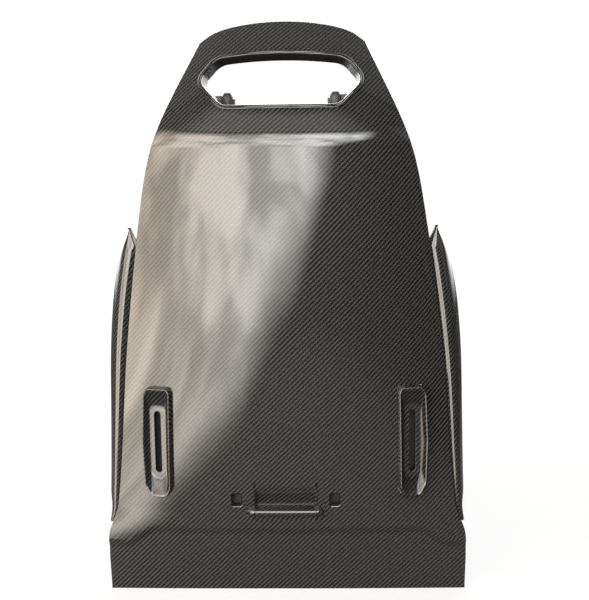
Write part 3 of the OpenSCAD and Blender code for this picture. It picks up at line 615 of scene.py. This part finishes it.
def eased_cutter(outline):
    """Cutter whose rear end flares, so that the hole's edge on the rear face is rounded."""
    out = outward(outline)
    rows = []
    for grow, d in EASED:
        q = outline + out * grow
        rows.append(np.stack([q[:, 0], rear_y(q[:, 0], q[:, 1]) + d, q[:, 1]], -1))
    n, m = len(outline), len(rows)
    faces = strip_faces(m, n, closed=True) + [tuple(range(n))[::-1], tuple(range((m - 1) * n, m * n))]
    return new_object("cutter", placed(rows), faces, smooth_angle=0)


def flip_if_inside_out(o):
    """The exact cuts need every face to look outward."""
    bm = bmesh.new()
    bm.from_mesh(o.data)
    bmesh.ops.recalc_face_normals(bm, faces=bm.faces)
    bm.to_mesh(o.data)
    bm.free()


SAME_WAY = 0.97  # cosine above which a face belongs to the panel and not to a cut's edge


def analytic_normals(o):
    """Shades both faces of the panel from its formula, so that the cut-outs leave no ripples in the coat."""
    me = o.data
    n = len(me.loops)
    vi = np.zeros(n, int)
    me.loops.foreach_get("vertex_index", vi)
    co = np.zeros(len(me.vertices) * 3)
    me.vertices.foreach_get("co", co)
    co = co.reshape(-1, 3) / MM - [0, Y_SHIFT, 0]
    x, z = co[vi, 0], co[vi, 2]
    target = unit(np.stack([dy_dx(x, z), -np.ones(n), dy_dz(x, z)], -1))
    starts = np.zeros(len(me.polygons), int)
    totals = np.zeros(len(me.polygons), int)
    normal = np.zeros(len(me.polygons) * 3)
    me.polygons.foreach_get("loop_start", starts)
    me.polygons.foreach_get("loop_total", totals)
    me.polygons.foreach_get("normal", normal)
    face = np.repeat(np.arange(len(starts)), totals)
    flat = normal.reshape(-1, 3)[face]
    facing = (flat * target).sum(1)[:, None]
    result = np.where(facing > SAME_WAY, target, np.where(facing < -SAME_WAY, -target, flat))
    me.shade_smooth()
    me.normals_split_custom_set([tuple(v) for v in result])


build_shell()


# ---- Side wings ----
def wing_rows(count_z=150, lap_steps=6, blade_steps=44):
    """Grid and normals of a wing: the lap that is bonded to the shell, then the blade that wraps forward."""
    zs = with_border(np.linspace(WING_Z0, WING_Z1, count_z))
    notch = NOTCH_W * np.clip((zs - WING_Z1 + NOTCH_LEN) / NOTCH_LEN, 0, 1)
    lap = np.maximum(1, WING_LAP * np.clip((WING_Z1 - zs) / (2 * NOTCH_LEN), 0, 1))
    a = np.linspace(0, 1, lap_steps)[None, :]
    z2 = zs[:, None] + 0 * a
    lx = half_w(z2) + notch[:, None] - lap[:, None] * (1 - a)
    ly = rear_y(lx, z2) + along_y(lx, z2, SKIN_T + BOND_BED)
    ln = unit(np.stack([-dy_dx(lx, z2), np.ones_like(lx)], -1))
    b = with_border(np.linspace(0, 1, blade_steps + 1), (0.0023, 0.0073))[None, 3:]
    q = np.radians(WING_START + b * (90 - WING_START))
    q0 = math.radians(WING_START)
    w = (curve(WING_OUTS, zs) - notch)[:, None]
    d = curve(WING_WRAPS, zs)[:, None]
    k = w / (1 - math.sin(q0))
    bx = lx[:, -1:] + k * (np.sin(q) - math.sin(q0))
    by = ly[:, -1:] + d * (math.cos(q0) - np.cos(q))
    bn = unit(np.stack([-d * np.sin(q), k * np.cos(q)], -1))
    z3 = zs[:, None] + 0 * bx
    x = np.concatenate([lx, bx], 1)
    y = np.concatenate([ly, by], 1)
    n = np.concatenate([ln, bn], 1)
    z = np.concatenate([z2, z3], 1)
    return x, y, z, n


def build_wing(side, node):
    x, y, z, n = wing_rows()
    outer = np.stack([x * side, y, z], -1)
    inner = np.stack([(x + n[..., 0] * SKIN_T) * side, y + n[..., 1] * SKIN_T, z], -1)
    outer, inner = round_border(outer, inner, unit(inner - outer), (1, 1, 0, 1))
    span = np.concatenate([np.zeros((len(x), 1)), np.cumsum(np.hypot(np.diff(x, axis=1), np.diff(y, axis=1)), 1)], 1)
    u0 = drape(half_w(z[:, 0]), z[:, 0])[:, 0:1] / MM
    uv = np.stack([(u0 + span) * side, np.interp(z, Z_STEPS, V_STEPS)], -1) * MM
    if side < 0:
        outer, inner, uv = outer[:, ::-1], inner[:, ::-1], uv[:, ::-1]
    o = skin_object(node + "_skin", outer, inner, uv)
    return finish_piece(o, CARBON, "laminate", node)


build_wing(-1, "left_wing")
build_wing(1, "right_wing")


# ---- Head rim ----
RIM_HALF = RIM_T / 2
# Distance outward from the opening's line, height above the rear face, share of the wall's depth
RIM_SECTION = [
    (BEAD_W, 0.6, 0), (BEAD_W, 1.4, 0), (BEAD_W - 0.5, BEAD_H - 0.35, 0), (BEAD_W - 1.4, BEAD_H, 0),
    (2.2, BEAD_H, 0), (1.0, BEAD_H * 0.87, 0), (0.0, BEAD_H * 0.62, 0), (-0.7, BEAD_H * 0.28, 0),
    (-RIM_HALF, -0.5, 0), (-RIM_HALF, 0, 0.12), (-RIM_HALF, 0, 0.5), (-RIM_HALF, 0, 0.94), (-0.8, 0, 0.985),
    (0, 0, 1), (0.8, 0, 0.985), (RIM_HALF, 0, 0.94), (RIM_HALF, 0, 0.5), (RIM_HALF, 0, 0.12), (RIM_HALF, -3, 0),
    (1.3, -0.9, 0), (1.6, 0.6, 0)]
RIM_WALL = range(8, 18)  # rows of the section that belong to the wall


def build_rim():
    out = outward(OPENING)
    n = len(OPENING)
    rows = []
    for offset, lift, t in RIM_SECTION:
        q = OPENING + out * offset
        d = t * RIM_DEPTH - along_y(q[:, 0], q[:, 1] + OPEN_Z, lift)
        t = np.clip(d / RIM_DEPTH, 0, 1)
        x = q[:, 0] * (1 - t * 2 * RIM_DRAFT_X / OPEN_W)
        z = q[:, 1] * (1 - t * RIM_DRAFT_Z / OPEN_H) + OPEN_Z
        rows.append(np.stack([x, rear_y(q[:, 0], q[:, 1] + OPEN_Z) + d, z], -1))
    ring = np.array(rows)
    around = np.concatenate([[0], np.cumsum(np.linalg.norm(np.diff(OPENING, axis=0), axis=1))])
    across = np.concatenate([np.zeros((1, n)), np.cumsum(np.linalg.norm(np.diff(ring, axis=0), axis=2), 0)])
    uv = np.stack([np.broadcast_to(around, across.shape), across], -1) * MM
    m = len(RIM_SECTION)
    faces = strip_faces(m, n, closed=True) + closing_faces(m, n)
    o = new_object("head_rim_ring", placed(ring), faces, uv.reshape(-1, 2), smooth_angle=60)
    # The wall rows take the darker twill: painted shade inside the opening
    wall = np.repeat([int(j in RIM_WALL) for j in range(m)], n)
    o.data.polygons.foreach_set("material_index", wall)
    flip_if_inside_out(o)
    subdivided(o)
    return finish_piece(o, (CARBON_RIM, SHADED_CARBON_WALL), "laminate", "head_rim")


build_rim()


# ---- Slot bezels ----
FLOOR_LEN = SLOT_LEN + 8
# The scoop's sides get the darker twill: painted shade
SHADED_SCOOP_LOOPS = slice(9, 13)  # loops whose faces make the scoop's sides
FLOOR_LOOP = 14  # loop at the floor's edge, from which the cloth is unfolded


def build_bezel(side, node):
    """Loops from the hidden skirt over the crest, down the scoop and through the slot, and back underneath."""
    count = 200
    mat = bezel_matrix(side)
    outline = bezel_outline(0, count)
    normal = outward(outline)
    floor = resampled(rect(FLOOR_W, FLOOR_LEN, 11), count)
    floor_in = resampled(rect(FLOOR_W - 1.6, FLOOR_LEN - 1.6, 10.2), count)
    flat = -FLOOR_SINK
    crest = -BEZEL_RISE

    def slot(grow):
        return resampled(rect(SLOT_W + 2 * grow, SLOT_LEN + 2 * grow, SLOT_W / 2 + grow - 0.01), count)

    def inset(d):
        return outline - normal * d

    def blend(t):
        return inset(3.4) * (1 - t) + floor * t

    def fall(t):
        return flat + (crest * 0.96 - flat) * (1 - t) ** 1.7

    loops = [(inset(BEZEL_T), BEZEL_SKIRT), (inset(0), BEZEL_SKIRT), (inset(0), 2.0), (inset(0), 0.5),
             (inset(0.25), crest * 0.3), (inset(0.6), crest * 0.68), (inset(1.2), crest * 0.92), (inset(2.1), crest),
             (inset(2.9), crest * 0.985), (blend(0.04), fall(0.03)), (blend(0.2), fall(0.2)), (blend(0.4), fall(0.4)),
             (blend(0.6), fall(0.6)), (blend(0.8), fall(0.8)), (floor, flat - 0.12), (floor_in, flat),
             (slot(2.2), flat), (slot(0.5), flat), (slot(0.12), flat + 0.15), (slot(0), flat + 0.6),
             (slot(0), flat + BEZEL_T), (slot(3), flat + BEZEL_T),
             (floor_in, flat + BEZEL_T), (blend(0.8), fall(0.8) + BEZEL_T), (blend(0.4), fall(0.4) + BEZEL_T),
             (inset(4.4), crest + BEZEL_T), (inset(BEZEL_T + 0.2), crest * 0.7 + BEZEL_T)]
    local = np.array([np.stack([pts[:, 0], np.full(count, y), pts[:, 1]], -1) for pts, y in loops])
    ring = np.array([[mat @ Vector(v) for v in row] for row in local])
    length = np.concatenate([np.zeros((1, count)), np.cumsum(np.linalg.norm(np.diff(local, axis=0), axis=2), 0)])
    away = unit(inset(0) - floor) * [side, 1]
    uv = drape(ring[..., 0], ring[..., 2])
    reach = np.abs(length - length[FLOOR_LOOP])[:FLOOR_LOOP, :, None] * MM
    uv[:FLOOR_LOOP] = uv[FLOOR_LOOP] + away * reach
    faces = strip_faces(len(loops), count, closed=True) + closing_faces(len(loops), count)
    o = new_object(node + "_moulding", placed(ring), faces, uv.reshape(-1, 2), smooth_angle=0)
    # Material 1 on the scoop's sides is the painted-shade twill
    scoop = np.zeros((len(loops), count), int)
    scoop[SHADED_SCOOP_LOOPS] = 1
    o.data.polygons.foreach_set("material_index", scoop.ravel())
    flip_if_inside_out(o)
    subdivided(o)
    return finish_piece(o, (CARBON, SHADED_CARBON_SCOOP), "laminate", node)


build_bezel(-1, "left_slot_bezel")
build_bezel(1, "right_slot_bezel")


# ---- Centre pull ----
def pull_depth(x, z):
    """How far the pull's face lies forward of the panel's face."""
    fall = np.clip((PULL_Z + SCOOP_H - z) / (SCOOP_H - 6), 0, 1)
    wall = smooth((z - (PULL_Z + 3.6)) / 4.2)
    side = smooth((SCOOP_W / 2 + 1.0 - np.abs(x)) / 3.2)
    scoop = SCOOP_DEPTH * (0.75 * fall + 0.25 * smooth(fall * 1.1)) * wall * side
    past = np.clip((np.abs(x) - (PULL_W / 2 - 12)) / 10, 0, 1)
    end = np.sqrt(np.clip(1 - past * past, 0, 1))
    q = (z - PULL_Z) / (7.2 * np.maximum(end, 0.05))
    return scoop - ROLL_RISE * end * np.sqrt(np.clip(1 - q * q, 0, 1))


def build_pull():
    half, lip = PULL_W / 2, SCOOP_W / 2
    xs = np.concatenate([np.linspace(-half, -half + 14, 30)[:-1], np.linspace(-half + 14, -lip - 3, 3)[:-1],
                         np.linspace(-lip - 3, -lip + 4, 16), np.linspace(-lip + 4, 0, 24)[1:]])
    xs = np.concatenate([xs, -xs[-2::-1]])
    zs = np.concatenate([np.linspace(PULL_LOW, PULL_Z - 8, 5)[:-1], np.linspace(PULL_Z - 8, PULL_Z + 11, 76),
                         np.linspace(PULL_Z + 11, PULL_HIGH, 40)[1:]])
    x, z = np.meshgrid(xs, zs)
    face = rear_y(x, z)
    deep = pull_depth(x, z)
    outer = np.stack([x, face + deep, z], -1)
    inner = np.stack([x, face + np.maximum(deep + SKIN_T, SKIN_T * 0.6), z], -1)
    # Lengths down the middle of the section, so that the cloth follows the scoop and the roll
    middle = np.argmin(np.abs(xs))
    down = np.concatenate([[0], np.cumsum(np.hypot(np.diff(outer[:, middle, 1]), np.diff(zs)))])
    uv = drape(x, z)
    flat_v = uv[:, middle:middle + 1, 1].copy()
    uv[..., 1] += flat_v[-1] - (down[-1] - down)[:, None] * MM * 0.98 - flat_v
    o = skin_object("centre_pull_moulding", outer, inner, uv)
    o.data.shade_smooth()
    corner = pull_prism()
    flip_if_inside_out(corner)
    m = o.modifiers.new("corners", "BOOLEAN")
    m.operation = "INTERSECT"
    m.solver = "MANIFOLD"
    m.object = corner
    apply_modifiers(o)
    bpy.data.objects.remove(corner)
    o.data.shade_smooth()
    o.data.set_sharp_from_angle(angle=math.radians(62))
    return finish_piece(o, CARBON, "laminate", "centre_pull")


build_pull()


# ---- Foam strips ----
def build_foam(side, node):
    nx, nz = 14, 90
    x, z = np.meshgrid(np.linspace(FOAM_X - FOAM_W / 2, FOAM_X + FOAM_W / 2, nx),
                       np.linspace(FOAM_Z - FOAM_LEN / 2, FOAM_Z + FOAM_LEN / 2, nz))
    base = rear_y(x, z) + along_y(x, z, SKIN_T + BOND_BED)
    top = float(rear_y(FOAM_X, FOAM_Z) + along_y(FOAM_X, FOAM_Z, SKIN_T)) + FOAM_T
    ex = 1 - np.abs((x - FOAM_X) / (FOAM_W / 2)) ** 4
    ez = 1 - np.abs((z - FOAM_Z) / (FOAM_LEN / 2)) ** 24
    front = base + (top - base) * (0.72 + 0.28 * np.sqrt(np.clip(ex * ez, 0, 1)))
    rear = np.stack([x * side, base, z], -1)
    face = np.stack([x * side, front, z], -1)
    uv = np.stack([x, z], -1) * MM
    if side < 0:
        rear, face, uv = rear[:, ::-1], face[:, ::-1], uv[:, ::-1]
    o = skin_object(node + "_pad", rear, face, uv)
    return finish_piece(o, FOAM, "foam", node)


build_foam(-1, "left_foam_strip")
build_foam(1, "right_foam_strip")


# ---- CAD nodes that keep their shape: softened edges and their own materials ----
def dress(node, material, width):
    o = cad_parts[node]
    o.data.materials.clear()
    o.data.materials.append(material)
    if width:
        b = o.modifiers.new("edge", "BEVEL")
        b.width = width * MM
        b.segments = 2
        b.limit_method = "ANGLE"
        b.angle_limit = math.radians(40)
        b.harden_normals = True


NYLON_NODES = ["left_slot_liner", "right_slot_liner", "left_clip_box", "right_clip_box", "left_guide_foot",
               "right_guide_foot", "left_upright_guide", "right_upright_guide", "low_left_tower", "low_right_tower",
               "high_left_tower", "high_right_tower", "left_frame_hook", "right_frame_hook"]
ZINC_NODES = ["guide_screws", "lower_inserts", "upper_inserts", "low_left_clip", "low_right_clip",
              "high_left_clip", "high_right_clip"]
for name in NYLON_NODES:
    dress(name, NYLON, 0.5)
for name in ZINC_NODES:
    dress(name, ZINC, 0.15)


# ---- Stage: pale floor that fades out, curved soft boxes, white surround and the camera ----
def build_floor():
    """Thin pale floor that fades into the plain surround, so that the coat hardly mirrors it."""
    sides, radius = 64, 4
    turn = np.arange(sides) * 2 * math.pi / sides
    verts = np.array([[0, 0, 0]] + [[radius * math.cos(t), radius * math.sin(t), 0] for t in turn])
    o = new_object("floor", verts, [(0, 1 + i, 1 + (i + 1) % sides) for i in range(sides)], smooth_angle=0)
    m = Nodes("paper")
    cloud = m.noise(m.object_xyz(), 1.5, 2.0)
    m.put(m.shader.inputs["Base Color"], m.mix(cloud, (0.3456, 0.3456, 0.3456, 1), (0.36, 0.36, 0.36, 1)))
    m.shader.inputs["Roughness"].default_value = 0.9
    far = m.new("ShaderNodeVectorMath", operation="LENGTH")
    m.put(far.inputs[0], m.object_xyz())
    ramp = m.new("ShaderNodeMapRange", interpolation_type="SMOOTHSTEP")
    m.put(ramp.inputs["Value"], far.outputs["Value"])
    ramp.inputs["From Min"].default_value = 0.55
    ramp.inputs["From Max"].default_value = 1.7
    ramp.inputs["To Min"].default_value = 0.22
    ramp.inputs["To Max"].default_value = 0.0
    m.put(m.shader.inputs["Alpha"], ramp.outputs[0])
    o.data.materials.append(m.mat)


build_floor()


def soft_panel(name, azimuths, elevations, power, near, far, tilt=0.0, cloud=0.0, edge=0.25, radius=2.8):
    """Curved soft box round the subject: degrees round from the camera side, fading towards its edges."""
    cols, rows = 33, 17
    az = np.radians(np.linspace(*azimuths, cols))[None, :]
    el = np.radians(np.linspace(*elevations, rows))[:, None]
    p = np.stack([np.sin(az) * np.cos(el), -np.cos(az) * np.cos(el), np.sin(el) + 0 * az], -1) * radius + [0, 0, 0.5]
    uvs = np.stack(np.meshgrid(np.linspace(0, 1, cols), np.linspace(0, 1, rows)), -1).reshape(-1, 2)
    o = new_object(name, p.reshape(-1, 3), strip_faces(rows, cols, flip=True), uvs)
    m = Nodes(name + "_glow")
    uv = m.new("ShaderNodeUVMap", uv_map="drape").outputs[0]
    xyz = m.new("ShaderNodeSeparateXYZ")
    m.put(xyz.inputs[0], uv)
    across, up = xyz.outputs[0], xyz.outputs[1]
    lean = m.math("MULTIPLY_ADD", m.math("SUBTRACT", 1.0, up), tilt, across)
    glow = 1.0
    for gap in (across, m.math("SUBTRACT", 1.0, lean), up, m.math("SUBTRACT", 1.0, up)):
        ramp = m.new("ShaderNodeMapRange", interpolation_type="SMOOTHSTEP")
        m.put(ramp.inputs["Value"], gap)
        ramp.inputs["From Max"].default_value = edge
        glow = m.math("MULTIPLY", ramp.outputs[0], glow)
    if cloud:
        patch = m.noise(m.scaled(uv, (3.2, 2.2, 1)), 1.6, 3.0, 0.55)
        ramp = m.new("ShaderNodeMapRange", interpolation_type="SMOOTHSTEP")
        m.put(ramp.inputs["Value"], patch)
        ramp.inputs["From Min"].default_value = 0.36
        ramp.inputs["From Max"].default_value = 0.6
        ramp.inputs["To Min"].default_value = 1.0 - cloud
        glow = m.math("MULTIPLY", ramp.outputs[0], glow)
    light = m.new("ShaderNodeEmission")
    m.put(light.inputs["Color"], m.mix(across, (*far, 1), (*near, 1)))
    m.put(light.inputs["Strength"], m.math("MULTIPLY", glow, power))
    m.tree.links.new(light.outputs[0], m.tree.nodes["Material Output"].inputs[0])
    o.data.materials.append(m.mat)
    o.visible_camera = False


soft_panel("window_panel", (-88, 60), (-32, 44), 16.0, (1.22, 1.26, 1.28), (0.76, 0.62, 0.46), tilt=0.5,
           cloud=0.55, edge=0.11)
soft_panel("front_panel", (-80, 60), (30, 70), 1.2, (1, 1, 1), (1, 1, 1), radius=3.0)
soft_panel("rear_panel", (90, 270), (50, 78), 0.25, (1, 1, 1), (1, 1, 1), edge=0.05, radius=3.0)
soft_panel("overhead_panel", (-180, 180), (79, 90), 7.0, (1, 1, 1), (1, 1, 1), edge=0.05)
soft_panel("inner_panel", (110, 250), (-8, 46), 7.0, (1, 1, 1), (1, 1, 1))
soft_panel("right_panel", (62, 100), (-10, 50), 0.6, (0.90, 0.94, 1.0), (0.90, 0.94, 1.0))


def build_world():
    """White behind the subject, dim grey all round as the coat sees it."""
    world = bpy.data.worlds.new("studio")
    bpy.context.scene.world = world
    world.use_nodes = True
    tree = world.node_tree
    shade = tree.nodes["Background"]
    path = tree.nodes.new("ShaderNodeLightPath")
    level = tree.nodes.new("ShaderNodeMapRange")
    level.inputs["To Min"].default_value = 0.08
    level.inputs["To Max"].default_value = 1.0
    tree.links.new(path.outputs["Is Camera Ray"], level.inputs["Value"])
    tree.links.new(level.outputs[0], shade.inputs["Strength"])
    shade.inputs["Color"].default_value = (1, 1, 1, 1)


build_world()
bpy.context.scene.view_settings.view_transform = "Standard"


def build_camera():
    """Square-on from behind, a little above the middle, as the photograph was taken."""
    lift, side, lean = math.radians(8.61), math.radians(1.61), math.radians(-0.75)
    ahead = Vector((-math.sin(side) * math.cos(lift), math.cos(side) * math.cos(lift), -math.sin(lift)))
    right = ahead.cross(Vector((0, 0, 1))).normalized()
    up = right.cross(ahead)
    right, up = (math.cos(lean) * right + math.sin(lean) * up, math.cos(lean) * up - math.sin(lean) * right)
    cam = bpy.data.cameras.new("camera")
    cam.sensor_width = 36
    cam.lens = 60
    o = bpy.data.objects.new("camera", cam)
    place = Vector((0.0587, -1.4320 + Y_SHIFT * MM, 0.6846))
    o.matrix_world = Matrix.Translation(place) @ Matrix((right, up, -ahead)).transposed().to_4x4()
    bpy.context.scene.collection.objects.link(o)
    bpy.context.scene.camera = o


build_camera()
